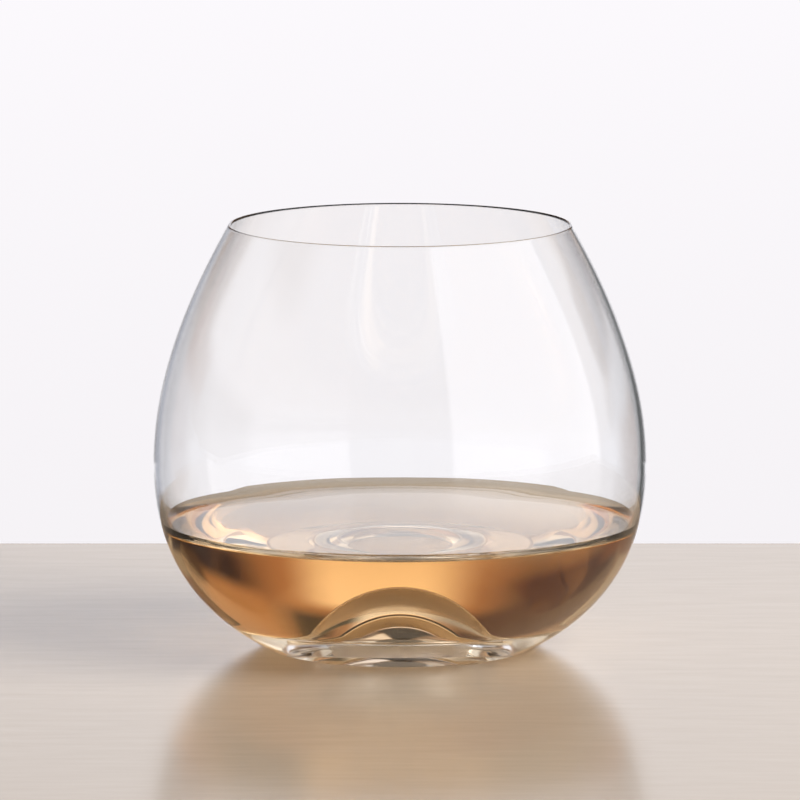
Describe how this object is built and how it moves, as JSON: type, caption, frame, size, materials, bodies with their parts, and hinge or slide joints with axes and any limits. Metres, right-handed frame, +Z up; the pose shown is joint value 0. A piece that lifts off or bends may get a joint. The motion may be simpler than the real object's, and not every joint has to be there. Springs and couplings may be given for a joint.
{
  "type": "stemless brandy snifter",
  "caption": "Stemless snifter: a wide, thin-walled glass bowl that narrows to its rim, on a thick foot with a tall round punt, holding a pour of brandy.",
  "frame": {"origin": "centre of the flat foot ring, on the surface the glass stands on", "axes": "+Z up along the axis of the bowl, X and Y free because both pieces are turned about Z"},
  "size_m": [0.105, 0.105, 0.0905],
  "materials": {
    "clear_glass": "clear, fire-polished",
    "brandy": "clear amber liquid"
  },
  "bodies": {
    "root": {"glass_bowl": "clear_glass", "brandy": "brandy"}
  },
  "joints": []
}
